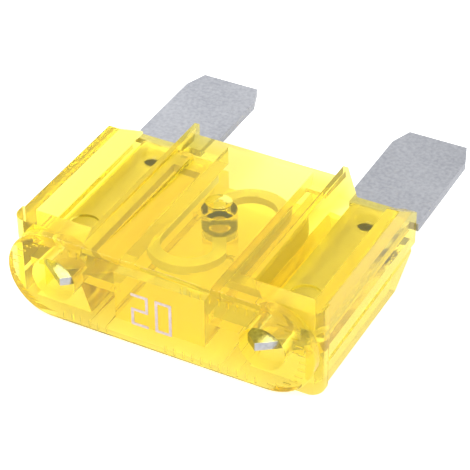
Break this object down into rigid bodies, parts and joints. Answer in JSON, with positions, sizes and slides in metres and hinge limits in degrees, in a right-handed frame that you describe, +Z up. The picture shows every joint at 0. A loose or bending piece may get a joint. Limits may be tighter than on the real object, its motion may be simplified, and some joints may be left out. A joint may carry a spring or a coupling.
{
  "type": "automotive blade fuse",
  "caption": "Large plug-in blade fuse: two flat metal blades and a thin fusible link held in a clear yellow moulded housing with round test openings in its cap.",
  "frame": {"origin": "Middle of the whole fuse: halfway across its width, halfway from the front of the cap to the blade tips, and in the middle plane of the metal.", "axes": "X across the two blades, +Y from the cap towards the blade tips, +Z up through the thickness. The fuse lies on one broad side."},
  "size_m": [0.0292, 0.0342, 0.0086],
  "materials": {
    "clear_plastic": "clear amber yellow, polished by the mould",
    "blade_metal": "plated zinc alloy, satin, faintly mottled"
  },
  "bodies": {
    "root": {"housing": "clear_plastic", "fuse_element": "blade_metal"}
  },
  "joints": []
}
